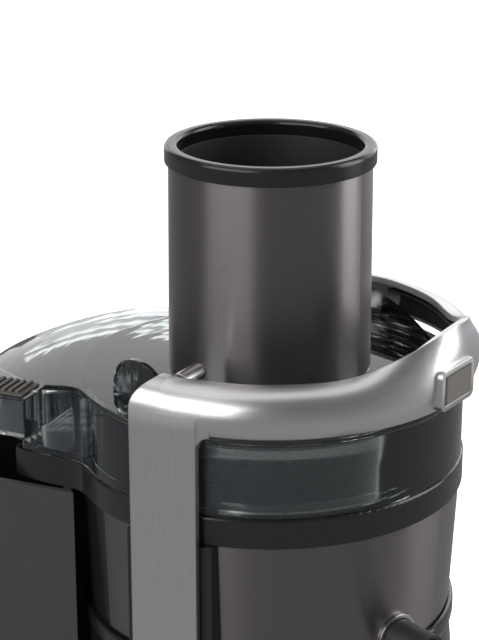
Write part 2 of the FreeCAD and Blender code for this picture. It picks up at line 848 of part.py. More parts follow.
def bar_webs():
    """Upright webs of the lid that carry the latch bars."""
    webs = []
    for side in (-1, 1):
        web = box(f"bar_web_{side}", (-2.2, 2.2),
                  sorted((side * (bar_near + 3.5), side * bar_far)), (lid_flange, bar_height))
        seat = crossways(f"bar_seat_{side}", bar_radius,
                         *sorted((side * (bar_near - 2), side * (bar_far + 2))), 0, bar_height)
        webs.append(cut(f"bar_holder_{side}", web, seat))
    return webs


wing_near = at("neck_centre") + 4
wing_far = at("neck_centre") + 34
wing_top = lid_flange - 1.8


def grip_wing():
    """The hollow ledge at the front of the hood that a hand lifts the lid by."""
    outer = box("wing_out", (-wing_far, -wing_near),
                (-at("grip_reach"), -at("neck_half_width") + 18),
                (wing_top - 17, wing_top))
    soft = rounded("wing_soft", outer, 3.0, upright_edge)
    inner = box("wing_in", (-wing_far + 2, -wing_near - 2),
                (-at("grip_reach") + 2, -at("neck_half_width") + 22),
                (wing_top - 18, wing_top - 2.2))
    hollow = cut("wing_shell", soft, inner)
    return cut("wing", hollow, collar_plan("wing_clear", 0.4, lid_flange - 40, lid_flange + 10))


fin_radius = at("arm_neck_radius") - 1.3
fin_wall = size(2.4)


def lid_fins():
    """Curved fins inside the arm's hoop, low beside the grip and rising to the legs."""
    shell = tube("fin_ring", fin_radius, fin_radius - fin_wall, lid_flange - 1, lid_flange + 30)
    wedge = padded("fin_wedge", "XZ_Plane", [
        (4, lid_flange - 1), (fin_radius * 0.7, lid_flange - 1),
        (fin_radius * 0.7, lid_flange + 1), (4, lid_flange + 18)], 200, both_ways=True)
    return common("fins", shell, wedge)


def lid_tabs():
    """Upright D-shaped tabs behind the tops of the arm's legs."""
    tabs = []
    for side, middle in (("front", -105), ("back", 105)):
        shell = tube(f"tab_ring_{side}", fin_radius, fin_radius - fin_wall, lid_flange - 1,
                     lid_flange + 40)
        arch = lying(f"tab_arch_{side}", tab_radius, 60, 30, middle, tab_centre)
        stem = turned(box(f"tab_stem_{side}", (60, 90), (-tab_radius, tab_radius),
                          (lid_flange - 1, tab_centre)), middle)
        tabs.append(common(f"tab_{side}", shell, fuse(f"tab_plan_{side}", arch, stem)))
    return tabs


tab_radius = size(16.0)
tab_centre = lid_flange + 5.4


def lid_gasket():
    inside = at("bowl_radius") - at("bowl_wall")
    return revolved("gasket", [
        (inside + 0.1, bowl_edge),
        (at("bowl_radius") - 0.1, bowl_edge),
        (at("bowl_radius") - 0.1, lid_flange - at("lid_wall")),
        (inside + 0.1, lid_flange - at("lid_wall"))])


def lid_grip_pad():
    front = -at("grip_reach") + 2.5
    back = -at("neck_half_width") - 1.5
    base = box("grip_base", (-wing_far + 3, -wing_near - 2.5), (front, back),
               (wing_top, wing_top + 0.8))
    ribs = [box(f"grip_rib_{index}", (-wing_far + 4.5 + 3.2 * index, -wing_far + 6.1 + 3.2 * index),
                (front + 1, back - 1), (wing_top + 0.7, wing_top + 2.0)) for index in range(7)]
    return turned(fuse("grip_pad_body", base, *ribs), at("pulp_turn"))


def chute_liner():
    bore = at("chute_bore")
    gap = at("skin_gap")
    return revolved("liner", [
        (bore, top - at("chute_depth")),
        (bore + 2.2, top - at("chute_depth")),
        (sleeve_inner_low - 0.1, lid_crown - at("lid_wall")),
        (sleeve_inner_low - 0.1, lid_crown),
        (sleeve_inner_top - gap, rim_low),
        (sleeve_inner_top - gap, rim_low + 1.4),
        (bore, rim_low + 1.4)])


def chute_sleeve():
    height = rim_low + 0.9 - lid_crown
    return cut("sleeve",
               cone("sleeve_out", at("sleeve_bottom_radius"), at("sleeve_top_radius"), height,
                    lid_crown),
               cone("sleeve_in", sleeve_inner_low, sleeve_inner_top, height, lid_crown))


def rim_ring():
    outer = at("rim_radius")
    inner = at("chute_bore") + 0.5
    ring = revolved("rim_section", [
        (inner, rim_low + 1.5),
        (at("sleeve_top_radius") + 0.1, rim_low + 1.5),
        (at("sleeve_top_radius") + 0.1, rim_low),
        (outer, rim_low),
        (outer, rim_top),
        (inner, rim_top)])
    crown = rounded("rim_crown", ring, 1.8, lambda edge: (
        ring_edge(outer, rim_top)(edge) or ring_edge(inner, rim_top)(edge)))
    soft = rounded("rim_soft", crown, 0.7, ring_edge(outer, rim_low))
    key = turned(box("rim_key", (inner - 0.4, inner + 1.5), (-2.2, 2.2),
                     (rim_low + 1.6, rim_top - 1.6)), 155)
    return fuse("rim", soft, key)


# ---------------------------------------------------------------- the locking arm

def arm_bump(angle):
    """How far the thumb lip has risen at an angle from +X: one at the middle, none past 40."""
    reach = 40.0
    if abs(angle) >= reach:
        return 0.0
    return math.cos(math.radians(90.0 * angle / reach)) ** 2


# The hoop's outer face from its lower to its upper edge, as shares of how far its neck
# leans in and of its height: at the legs, and at the middle where it becomes a thumb lip.
RESTING = [(0.24, 0.0), (0.07, 0.21), (0.0, 0.44), (0.09, 0.67), (0.34, 0.86), (0.66, 0.96),
           (1.0, 1.0)]
RAISED = [(0.24, 0.0), (0.05, 0.18), (-0.03, 0.37), (-0.03, 0.57), (0.02, 0.75), (0.09, 0.9),
          (0.12, 1.0)]


def arm_profile(angle, depth, trim=0.0):
    """Points (radius, height) of the hoop's section, depth below its outer face."""
    lift = arm_bump(angle)
    lean = (at("arm_radius") - at("arm_neck_radius")).value
    low = (top + at("arm_base")).value
    rise = (at("arm_shoulder") - at("arm_base")).value + at("thumb_rise").value * lift
    face = []
    for (rest_in, rest_up), (lip_in, lip_up) in zip(RESTING, RAISED):
        share_in = rest_in + (lip_in - rest_in) * lift
        share_up = rest_up + (lip_up - rest_up) * lift
        face.append((at("arm_radius").value - lean * share_in,
                     low + trim + (rise - 2 * trim) * share_up))
    points = []
    for index, (radius, height) in enumerate(face):
        before = face[max(index - 1, 0)]
        after = face[min(index + 1, len(face) - 1)]
        out, up = after[0] - before[0], after[1] - before[1]
        long = math.hypot(out, up)
        points.append((radius - depth * up / long, height + depth * out / long))
    return points


def arm_wire(angle, inset, skin, trim=0.0):
    turn = math.radians(angle)

    def spots(depth):
        return [FreeCAD.Vector(radius * math.cos(turn), radius * math.sin(turn), height)
                for radius, height in arm_profile(angle, depth, trim)]

    outer = spots(inset)
    inner = spots(inset + skin)[::-1]
    edges = []
    for points in (outer, inner):
        curve = Part.BSplineCurve()
        curve.interpolate(points)
        edges.append(curve.toShape())
    return Part.Wire([edges[0], Part.makeLine(outer[-1], inner[0]), edges[1],
                      Part.makeLine(inner[-1], outer[0])])


def arm_hoop(inset, skin, reach=90, trim=0.0):
    """The curved band, lofted round the chute from one leg to the other."""
    step = reach / 9
    angles = [-reach + step * index for index in range(19)]
    return Part.makeLoft([arm_wire(angle, inset, skin, trim) for angle in angles], True, False)


def arm_tail(side, inset, skin):
    """The short straight run of the band past the leg, on one side."""
    wire = arm_wire(90 * side, inset, skin)
    run = at("leg_width").value / 2 - at("leg_shift").value
    return Part.Face(wire).extrude(FreeCAD.Vector(-run, 0, 0))


def arm_leg(side, inset, skin, low, high):
    """A leg's plate: flat behind the chute's axis and curved with the band ahead of it."""
    outer = at("arm_radius").value - inset
    inner = outer - skin
    left = at("leg_shift").value - at("leg_width").value / 2
    right = at("leg_shift").value + at("leg_width").value / 2
    plates = Part.makeBox(-left, skin, high - low, FreeCAD.Vector(left, inner, low))
    curved = Part.makeCylinder(outer, high - low, FreeCAD.Vector(0, 0, low))
    curved = curved.cut(Part.makeCylinder(inner, high - low, FreeCAD.Vector(0, 0, low)))
    strip = Part.makeBox(right, outer + 1, high - low, FreeCAD.Vector(0, 0, low))
    plates = plates.fuse(curved.common(strip))
    if side < 0:
        plates = plates.mirror(FreeCAD.Vector(), Y_AXIS)
    return plates


def arm_mask(trim):
    """The arm's side view: a rounded foot about the pivot and a rounded upper corner."""
    half = at("leg_width").value / 2 - trim
    middle = at("leg_shift").value
    pivot = at("pivot_height").value
    corner = 14.0
    high = (top + at("arm_shoulder")).value + 1.0
    left = middle - half

    def spot(x, z):
        return FreeCAD.Vector(x, -100, z)

    edges = [
        Part.Arc(spot(left, pivot), spot(middle, pivot - half), spot(middle + half, pivot)),
        Part.LineSegment(spot(middle + half, pivot), spot(110, pivot)),
        Part.LineSegment(spot(110, pivot), spot(110, high + 40)),
        Part.LineSegment(spot(110, high + 40), spot(left + corner, high + 40)),
        Part.LineSegment(spot(left + corner, high + 40), spot(left + corner, high)),
        Part.Arc(spot(left + corner, high),
                 spot(left + corner * (1 - math.sqrt(0.5)), high - corner * (1 - math.sqrt(0.5))),
                 spot(left, high - corner)),
        Part.LineSegment(spot(left, high - corner), spot(left, pivot))]
    face = Part.Face(Part.Wire([edge.toShape() for edge in edges]))
    return face.extrude(FreeCAD.Vector(0, 200, 0))


def arm_crook(side):
    """The hollow round between a leg's front edge and the hoop's lower edge."""
    centre_x = at("leg_shift").value + at("leg_width").value / 2 + crook_radius
    base = (top + at("arm_base")).value
    low = base - crook_radius
    rise = crook_radius + 4
    foot = FreeCAD.Vector(0, 0, low)
    outer = at("arm_radius").value - 1.0
    shell = Part.makeCylinder(outer, rise, foot)
    shell = shell.cut(Part.makeCylinder(outer - at("arm_gauge").value, rise, foot))
    edge = FreeCAD.Vector(centre_x - crook_radius - MARGIN, 40 if side > 0 else -100, low)
    block = Part.makeBox(crook_radius + MARGIN, 60, rise, edge)
    hollow = Part.makeCylinder(crook_radius, 220, FreeCAD.Vector(centre_x, -110, low), Y_AXIS)
    return shell.common(block).cut(hollow)


crook_radius = 5.0                 # of the hollow round where a leg meets the hoop


def arm_shape(inset, skin, trim):
    pivot = at("pivot_height").value
    low = pivot - at("leg_width").value
    join = (top + at("arm_base")).value + 8.0
    shape = arm_hoop(inset, skin)
    for side in (-1, 1):
        shape = shape.fuse([arm_tail(side, inset, skin), arm_leg(side, inset, skin, low, join),
                            arm_crook(side)])
    return shape.common(arm_mask(trim)).removeSplitter()


def locking_arm():
    arm = doc.addObject("Part::Feature", "arm")
    shape = arm_shape(0.0, at("arm_gauge").value, 0.0)
    boss = Part.makeBox(7 + boss_rise, boss_width, boss_height,
                        FreeCAD.Vector(at("arm_radius").value - 7, -boss_width / 2,
                                       boss_low.value))
    boss = boss.makeFillet(3.0, [edge for edge in boss.Edges
                                 if abs(edge.tangentAt(edge.FirstParameter).x) > 0.99])
    core = Part.makeCylinder(at("arm_radius").value - 2.0, 60,
                             FreeCAD.Vector(0, 0, top.value + 40))
    pad = Part.makeBox(4, pad_width + 0.2, pad_height + 0.2,
                       FreeCAD.Vector(at("arm_radius").value + boss_rise - pad_depth,
                                      -pad_width / 2 - 0.1,
                                      boss_low.value + (boss_height - pad_height) / 2 - 0.1))
    for piece in (boss, pad):
        piece.rotate(FreeCAD.Vector(), Z_AXIS, grip_turn)
    bores = Part.makeCylinder(at("pin_radius").value + 0.05, 220,
                              FreeCAD.Vector(at("leg_shift").value, -110,
                                             at("pivot_height").value), Y_AXIS)
    arm.Shape = shape.fuse(boss.cut(core)).cut([pad, bores]).removeSplitter()
    return arm


boss_rise = 1.8
pad_depth = 0.8
grip_turn = -4.0
boss_width = 26.0
boss_height = 17.0
boss_low = top + at("arm_base") + 1.6
pad_width = 20.0
pad_height = 12.0


def arm_liner():
    """The dark moulded lining on the inside of the arm's hoop."""
    liner = doc.addObject("Part::Feature", "liner_of_arm")
    inset = at("arm_gauge").value + 0.05
    liner.Shape = arm_hoop(inset, at("liner_gauge").value, reach=76, trim=1.2)
    return liner


def grip_pad():
    start = at("arm_radius") + boss_rise - pad_depth
    pad = doc.addObject("Part::Box", "grip_block")
    bind(pad, Length=pad_depth + 0.7, Width=pad_width, Height=pad_height)
    place(pad, start, -pad_width / 2, boss_low + (boss_height - pad_height) / 2)
    soft = rounded("grip_soft", pad, 0.6, lambda edge: (
        min(vertex.X for vertex in edge.Vertexes) > number(start) + 1.0))
    return turned(soft, grip_turn)


def pivot_caps():
    caps = []
    for side in (-1, 1):
        face = at("arm_radius").value + 0.1
        disc = crossways(f"cap_{side}", 11.0, *sorted((side * face, side * (face + 3.4))),
                         at("leg_shift"), at("pivot_height"))
        outer = side * (face + 3.4)
        caps.append(rounded(f"cap_soft_{side}", disc, 1.4, lambda edge, outer=outer: (
            abs(edge.BoundBox.YMin - outer) < 0.01 and abs(edge.BoundBox.YMax - outer) < 0.01)))
    return group("caps", *caps)


# ---------------------------------------------------------------- the control knob

def control_knob():
    start = dial_face + 1.7
    turn = at("knob_turn")
    high = at("knob_height")
    drum = lying("knob_drum", at("knob_radius"), start, at("knob_length") - 4, turn, high)
    face = lying("knob_face", at("knob_radius") - 2.5, start, at("knob_length"), turn, high)
    ribs = []
    for index, angle in enumerate(spread(18)):
        radius = at("knob_radius").value
        rib = lying(f"knob_rib_{index}", 1.1, start, at("knob_length") - 5, 0, high)
        rib.Placement.Base.y += radius * math.cos(math.radians(angle))
        rib.Placement.Base.z += radius * math.sin(math.radians(angle))
        ribs.append(turned(rib, turn))
    bore = lying("knob_bore", knob_shaft_radius, start - 1, 9, turn, high)
    slot = turned(box("knob_slot", (start + at("knob_length") - 1, start + at("knob_length") + 2),
                      (-1.5, 1.5), (high + 2, high + 12)), turn)
    return cut("knob", fuse("knob_body", drum, face, *ribs), bore, slot)


def knob_pointer():
    start = dial_face + 1.7
    high = at("knob_height")
    return turned(box("pointer", (start + at("knob_length") - 1, start + at("knob_length") + 0.3),
                      (-1.4, 1.4), (high + 2.1, high + 11.9)), at("knob_turn"))


def knob_shaft():
    start = housing_inner - 20
    return lying("knob_spindle", knob_shaft_radius, start, dial_face + 9.7 - start,
                 at("knob_turn"), at("knob_height"))


# ---------------------------------------------------------------- the pulp bin

def bin_block(name, inset, low, high):
    """The bin's plan drawn in by inset: a rounded block hollowed round the juicer's body."""
    wide = at("bin_half_width") - inset
    block = box(f"{name}_block", (-at("bin_reach") + inset, -at("bin_near") - inset), (-wide, wide),
                (low, high))
    soft = rounded(f"{name}_soft", block, at("bin_corner") - inset, lambda edge: (
        upright_edge(edge) and edge.Vertexes[0].X < -100))
    body = cylinder(f"{name}_body", at("foot_radius") + at("bin_clearance") + inset,
                    size(high) - low + 2 * MARGIN, size(low) - MARGIN)
    return cut(name, soft, body)


def pulp_bin():
    wall = at("bin_wall")
    rim = top - at("bin_gap")
    outer = bin_block("bin_out", size(0), 0, rim)
    inner = bin_block("bin_in", wall, wall, rim + MARGIN)
    hollow = cut("bin_shell", outer, inner)
    return turned(hollow, at("pulp_turn"))


def bin_handle():
    """A finger grip on the bin's far side."""
    reach = at("bin_reach")
    bar = box("handle_bar", (-reach - 12, -reach), (-24, 24), (top - 42, top - 24))
    soft = rounded("handle_soft", bar, 5.0, lambda edge: (
        upright_edge(edge) and edge.Vertexes[0].X < -number(reach) - 1))
    hollow = box("handle_hollow", (-reach - 9.5, -reach + 1), (-21, 21), (top - 43, top - 27))
    return turned(cut("handle", soft, hollow), at("pulp_turn"))


# ---------------------------------------------------------------- build, name, check, write

BUILDERS = {
    "base_housing": base_housing,
    "bottom_plate": bottom_plate,
    "rubber_feet": rubber_feet,
    "base_screws": base_screws,
    "steel_cladding": steel_cladding,
    "spout_trim": spout_trim,
    "arm_guides": arm_guides,
    "pivot_pins": pivot_pins,
    "bowl_band": bowl_band,
    "filter_bowl": filter_bowl,
    "juice_spout": juice_spout,
    "motor_deck": motor_deck,
    "motor_stator": motor_stator,
    "motor_lower_bracket": lambda: bracket("lower_bracket", lower_bracket_low,
                                           lower_bracket_low + 2, stator_low),
    "motor_upper_bracket": lambda: bracket("upper_bracket", upper_bracket_low,
                                           stator_high, upper_bracket_low + 2),
    "lower_bearing": lambda: tube("bearing_low", bearing_radius,
                                  at("shaft_radius") + at("bearing_clearance"),
                                  lower_bracket_low, lower_bracket_low + 9),
    "upper_bearing": lambda: tube("bearing_high", bearing_radius,
                                  at("shaft_radius") + at("bearing_clearance"),
                                  upper_bracket_low, bracket_top),
    "motor_bolts": motor_bolts,
    "motor_mounts": motor_mounts,
    "brush_holders": brush_holders,
    "cord_gland": cord_gland,
    "control_switch": control_switch,
    "dial_plate": dial_plate,
    "lid": lid,
    "latch_bars": latch_bars,
    "lid_gasket": lid_gasket,
    "lid_grip_pad": lid_grip_pad,
    "chute_liner": chute_liner,
    "chute_sleeve": chute_sleeve,
    "rim_ring": rim_ring,
    "motor_shaft": motor_shaft,
    "motor_rotor": motor_rotor,
    "commutator": commutator,
    "cooling_fan": cooling_fan,
    "drive_coupling": drive_coupling,
    "basket_hub": basket_hub,
    "grater_disc": grater_disc,
    "basket_nut": basket_clip,
    "filter_basket": filter_basket,
    "basket_rim": basket_rim,
    "locking_arm": locking_arm,
    "arm_liner": arm_liner,
    "arm_grip_pad": grip_pad,
    "pivot_caps": pivot_caps,
    "control_knob": control_knob,
    "knob_pointer": knob_pointer,
    "knob_shaft": knob_shaft,
    "pulp_bin": pulp_bin,
    "bin_handle": bin_handle,
}


def centre_of_footprint():
    box_of_all = FreeCAD.BoundBox()
    for thing in nodes.values():
        box_of_all.add(thing.Shape.BoundBox)
    return FreeCAD.Vector(box_of_all.Center.x, box_of_all.Center.y, 0)


def check():
    for thing in doc.Objects:
        if "Invalid" in thing.State or "Error" in thing.State:
            raise RuntimeError(f"{thing.Name} failed: {thing.State}")
    for name, thing in nodes.items():
        if thing.Shape.isNull() or not thing.Shape.isValid() or not thing.Shape.Solids:
            raise RuntimeError(f"{name} has no valid solid")


def write():
    os.makedirs("parts", exist_ok=True)
    for name, thing in nodes.items():
        thing.Shape.exportStep(os.path.join("parts", f"{name}.step"))
        print(f"{name}: {len(thing.Shape.Solids)} solid(s), {thing.Shape.Volume / 1000:.1f} cm3")


for name, builder in BUILDERS.items():
    node(builder(), name)
    doc.recompute()
check()
origin = centre_of_footprint()
for thing in nodes.values():
    thing.Placement = FreeCAD.Placement(-origin, FreeCAD.Rotation()) * thing.Placement
doc.recompute()
check()
write()
print("chute axis at", -origin)
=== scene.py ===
# %% [markdown]
# # A centrifugal juicer
#
# The solid model gives every part its place and size.  This lesson gives those parts their
# finishes, stands lamps round the juicer and sets the camera.  Lengths are in metres and +Z
# is up.

import json
import math

import bpy
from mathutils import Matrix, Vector


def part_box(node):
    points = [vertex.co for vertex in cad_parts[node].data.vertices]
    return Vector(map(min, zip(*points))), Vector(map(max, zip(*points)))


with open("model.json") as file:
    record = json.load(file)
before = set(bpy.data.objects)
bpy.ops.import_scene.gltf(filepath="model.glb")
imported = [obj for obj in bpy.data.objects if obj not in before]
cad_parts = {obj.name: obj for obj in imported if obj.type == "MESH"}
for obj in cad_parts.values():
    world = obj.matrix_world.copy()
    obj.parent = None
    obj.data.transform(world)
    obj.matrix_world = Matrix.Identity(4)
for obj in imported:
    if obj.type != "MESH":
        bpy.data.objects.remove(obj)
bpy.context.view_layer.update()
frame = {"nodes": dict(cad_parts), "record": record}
nodes = frame["nodes"]
print("parts loaded:", len(nodes))

# %% [markdown]
# ## Where things are
#
# Everything round on this juicer turns about one upright axis, the feed chute's.  Its place
# is read from the sleeve round the chute, and the height from the black band, so that the
# grain, the lamps and the camera stay in place when a size changes.

# %%
MM = 0.001

sleeve_low, sleeve_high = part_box("chute_sleeve")
band_low, band_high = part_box("bowl_band")
AXIS_X = (sleeve_low.x + sleeve_high.x) / 2
AXIS_Y = (sleeve_low.y + sleeve_high.y) / 2
BAND = band_low.z
print("chute axis:", round(AXIS_X, 4), round(AXIS_Y, 4), "band at", round(BAND, 4))

# %% [markdown]
# ## Colours and nodes
#
# Colours are written as the sRGB codes that a paint chart would give, and one function turns
# them into the linear values that light is worked out in.  One more function adds a shader
# node, sets what it is given and links the rest, which keeps each material short.

# %%
def linear(code):
    """An sRGB code such as "#808080" as a linear colour with full opacity."""
    parts = [int(code[i:i + 2], 16) / 255 for i in (1, 3, 5)]
    return tuple(c / 12.92 if c <= 0.04045 else ((c + 0.055) / 1.055) ** 2.4
                 for c in parts) + (1.0,)


class Surface:
    """A material being built: its tree, its shader and a way to add nodes to it."""

    def __init__(self, name):
        self.material = bpy.data.materials.new(name)
        self.material.use_nodes = True
        self.tree = self.material.node_tree
        self.shader = self.tree.nodes["Principled BSDF"]
        self.output = self.tree.nodes["Material Output"]

    def add(self, kind, inputs=None, output=0, **settings):
        """Add a node; inputs are values or sockets of other nodes.  Gives back one output."""
        node = self.tree.nodes.new(kind)
        for key, value in settings.items():
            setattr(node, key, value)
        self.feed(node, inputs or {})
        return node.outputs[output]

    def feed(self, node, inputs):
        for key, value in inputs.items():
            if isinstance(value, bpy.types.NodeSocket):
                self.tree.links.new(value, node.inputs[key])
            else:
                node.inputs[key].default_value = value

    def set(self, **inputs):
        """Set or link the shader's own sockets; an underscore stands for a space."""
        self.feed(self.shader, {key.replace("_", " "): value for key, value in inputs.items()})


def about_axis(surface):
    """Sockets for the place on the surface: east, north and height, and the arc, in mm."""
    place = surface.add("ShaderNodeTexCoord", output=3)
    moved = surface.add("ShaderNodeVectorMath", {0: place, 1: (-AXIS_X, -AXIS_Y, 0.0)},
                        operation="ADD")
    scaled = surface.add("ShaderNodeVectorMath", {0: moved, 3: 1 / MM}, operation="SCALE")
    split = surface.tree.nodes.new("ShaderNodeSeparateXYZ")
    surface.tree.links.new(scaled, split.inputs[0])
    east, north, height = split.outputs
    angle = surface.add("ShaderNodeMath", {0: north, 1: east}, operation="ARCTAN2")
    arc = surface.add("ShaderNodeMath", {0: angle, 1: 80.0}, operation="MULTIPLY")
    return east, north, height, arc, scaled


UPRIGHT = (0.0, 0.0, 1.0)


def around(surface, east, north):
    """The direction that runs round the axis, across the grain of an upright brushing."""
    back = surface.add("ShaderNodeMath", {0: north, 1: -1.0}, operation="MULTIPLY")
    turn = surface.add("ShaderNodeCombineXYZ", {0: back, 1: east, 2: 0.0})
    return surface.add("ShaderNodeVectorMath", {0: turn}, operation="NORMALIZE")


def spread_of(surface, value, low, high):
    """Stretch a 0 to 1 value between two limits."""
    return surface.add("ShaderNodeMapRange", {0: value, 3: low, 4: high})


def soft_edges(surface, height=None, distance=0.0, strength=1.0, radius=0.5):
    """Rounded light on sharp edges, with a relief on top when a height is given."""
    rounded = surface.add("ShaderNodeBevel", {"Radius": radius * MM}, samples=4)
    if height is None:
        return rounded
    return surface.add("ShaderNodeBump", {"Strength": strength, "Distance": distance * MM,
                                          "Height": height, "Normal": rounded})


def grain(surface, along, across, other=None, length=14.0, width=0.22):
    """Brushing: a noise drawn out along the grain, with a second finer one over it."""
    coarse = None
    for factor, seed in ((1.0, 0.0), (0.45, 37.0)):
        stretch = surface.add("ShaderNodeCombineXYZ", {
            0: surface.add("ShaderNodeMath", {0: along, 1: 1 / (length * factor)},
                           operation="MULTIPLY"),
            1: surface.add("ShaderNodeMath", {0: across, 1: 1 / (width * factor)},
                           operation="MULTIPLY"),
            2: seed})
        noise = surface.add("ShaderNodeTexNoise", {"Vector": stretch, "Scale": 1.0,
                                                   "Detail": 3.0, "Roughness": 0.6})
        coarse = noise if coarse is None else surface.add(
            "ShaderNodeMath", {0: surface.add("ShaderNodeMath", {0: coarse, 1: noise},
                                              operation="ADD"), 1: 0.5},
            operation="MULTIPLY")
    return coarse


def tinted(surface, colour, value, low, high):
    """A colour made darker and lighter by a 0 to 1 value."""
    shade = spread_of(surface, value, low, high)
    return surface.add("ShaderNodeVectorMath", {0: colour[:3], 3: shade}, operation="SCALE")


MATERIALS = {}

# %% [markdown]
# ## Dark stainless, brushed round the body
#
# The chute's sleeve and the cladding are rolled from stainless sheet with a dark, slightly
# warm film on it.  The sheet is brushed along its length before it is rolled, so the marks
# run round the body.  Marks that run round spread a light up and down, and so each lamp
# shows as an upright band.  The shader blurs most along its tangent, so the tangent points
# up, across the marks; the grain itself is a noise some 60 times longer than it is wide.

# %%
def dark_stainless():
    surface = Surface("black_stainless_brushed_round")
    east, north, height, arc, _ = about_axis(surface)
    marks = grain(surface, arc, height, length=16.0, width=0.25)
    surface.set(Base_Color=tinted(surface, linear("#847f80"), marks, 0.62, 1.32),
                Metallic=1.0,
                Roughness=spread_of(surface, marks, 0.26, 0.42),
                Anisotropic=0.85,
                Tangent=surface.add("ShaderNodeCombineXYZ", {2: 1.0}),
                Normal=soft_edges(surface, marks, distance=0.02, strength=0.35))
    return surface.material


MATERIALS["black_stainless"] = dark_stainless()

# %% [markdown]
# ## Brushed steel of the locking arm
#
# The arm is one pressing.  Its legs were brushed up and down and its hoop round and round,
# and the two meet in a soft edge just above the hoop's lower side.  A mask by height mixes
# the two grains and the two tangents.

# %%
def arm_steel():
    surface = Surface("stainless_brushed_pressing")
    east, north, height, arc, _ = about_axis(surface)
    edge = surface.add("ShaderNodeMath", {0: height, 1: BAND / MM + 49.0}, operation="SUBTRACT")
    hoop = surface.add("ShaderNodeMapRange", {0: edge, 1: -3.0, 2: 9.0, 3: 0.0, 4: 1.0})
    round_marks = grain(surface, arc, height, length=22.0, width=0.3)
    upright_marks = grain(surface, height, east, length=22.0, width=0.3)
    marks = surface.add("ShaderNodeMix", {0: hoop, 2: upright_marks, 3: round_marks})
    tangent = surface.tree.nodes.new("ShaderNodeMix")
    tangent.data_type = "VECTOR"
    surface.feed(tangent, {0: hoop, 4: around(surface, east, north), 5: UPRIGHT})
    surface.set(Base_Color=tinted(surface, linear("#e2e1e0"), marks, 0.66, 1.22),
                Metallic=1.0,
                Roughness=spread_of(surface, marks, 0.24, 0.38),
                Anisotropic=0.6,
                Tangent=tangent.outputs[1],
                Normal=soft_edges(surface, marks, distance=0.02, strength=0.4, radius=0.9))
    return surface.material


MATERIALS["brushed_stainless"] = arm_steel()

# %% [markdown]
# ## Smoked clear plastic
#
# The bowl and lid are clear mouldings some 2 mm thick with a grey-blue dye.  Straight
# through, a wall that thin hardly bends a line of sight, but it dims what lies behind it, and
# dims it more where the line of sight runs along inside the wall.  So light passes each face
# tinted, deeper at a glance, and Fresnel's law for an index of 1.49 mirrors the rest.

# %%
def smoked_plastic():
    surface = Surface("smoked_clear_moulding")
    glance = surface.add("ShaderNodeLayerWeight", {"Blend": 0.35}, output=1)
    through = surface.tree.nodes.new("ShaderNodeMix")
    through.data_type = "RGBA"
    surface.feed(through, {0: glance, 6: linear("#f3f5f4"), 7: linear("#cdd5d9")})
    clear = surface.add("ShaderNodeBsdfTransparent", {"Color": through.outputs[2]})
    _, _, _, _, place = about_axis(surface)
    flow = surface.add("ShaderNodeTexNoise", {"Vector": place, "Scale": 0.035, "Detail": 2.0})
    normal = soft_edges(surface, flow, distance=0.6, strength=0.25, radius=0.6)
    mirror = surface.add("ShaderNodeBsdfAnisotropic", {"Color": (1.0, 1.0, 1.0, 1.0),
                                                       "Roughness": 0.04, "Normal": normal})
    share = surface.add("ShaderNodeFresnel", {"IOR": 1.49, "Normal": normal})
    body = surface.add("ShaderNodeBsdfDiffuse", {"Color": linear("#8d99a6"), "Normal": normal})
    haze = surface.add("ShaderNodeMixShader", {0: 0.03, 1: clear, 2: body})
    mixed = surface.add("ShaderNodeMixShader", {0: share, 1: haze, 2: mirror})
    surface.tree.links.new(mixed, surface.output.inputs["Surface"])
    surface.tree.nodes.remove(surface.shader)
    return surface.material


MATERIALS["smoked_clear_plastic"] = smoked_plastic()

# %% [markdown]
# ## Mouldings, rubber and grips
#
# The band, rails and rim came out of a polished tool: nearly black, with a low, slow ripple
# where the plastic shrank.  The pulp bin's tool was spark-eroded, which leaves a fine even
# grain a fifth of a millimetre across.  Rubber and the soft grips are rougher still.

# %%
def moulded(name, colour, rough, relief_scale, relief, spread=0.05, metallic=0.0, ior=1.5):
    """A moulded, cast or turned surface with a relief of a given size in millimetres."""
    surface = Surface(name)
    _, _, _, _, place = about_axis(surface)
    fine = surface.add("ShaderNodeTexNoise", {"Vector": place, "Scale": 1 / relief_scale,
                                              "Detail": 3.0})
    wear = surface.add("ShaderNodeTexNoise", {"Vector": place, "Scale": 0.06, "Detail": 4.0})
    surface.set(Base_Color=tinted(surface, linear(colour), wear, 0.88, 1.14),
                Metallic=metallic,
                Roughness=spread_of(surface, wear, rough - spread, rough + spread),
                IOR=ior,
                Normal=soft_edges(surface, fine, distance=relief, strength=0.5))
    return surface.material


MATERIALS["black_gloss_plastic"] = moulded("black_plastic_polished_tool", "#171718", 0.20,
                                           30.0, 0.15)
MATERIALS["black_matte_plastic"] = moulded("black_plastic_spark_textured", "#2e2e2f", 0.52,
                                           0.22, 0.03)
MATERIALS["rubber"] = moulded("rubber_moulded", "#242424", 0.75, 0.4, 0.03)
MATERIALS["grey_grip"] = moulded("soft_grip_moulded", "#5f5a55", 0.62, 0.5, 0.05)
MATERIALS["plated_steel"] = moulded("zinc_plated_steel_turned", "#c9cacc", 0.26, 0.6, 0.01,
                                    metallic=1.0)
MATERIALS["motor_iron"] = moulded("iron_laminations_varnished", "#5b5653", 0.5, 0.5, 0.05,
                                  metallic=1.0)
MATERIALS["motor_alloy"] = moulded("alloy_die_cast", "#c2c3c4", 0.42, 0.9, 0.05, metallic=1.0)
MATERIALS["copper"] = moulded("copper_turned", "#c98a62", 0.3, 0.5, 0.01, metallic=1.0)
MATERIALS["fan_plastic"] = moulded("white_plastic_moulded", "#c4c3ba", 0.45, 0.5, 0.02)
MATERIALS["pointer_paint"] = moulded("pale_plastic_moulded", "#d8d8d8", 0.4, 0.5, 0.02)

# %% [markdown]
# ## Satin stainless
#
# The basket, the caps over the pivots and the plate round the dial are plain stainless with a
# turned satin finish.

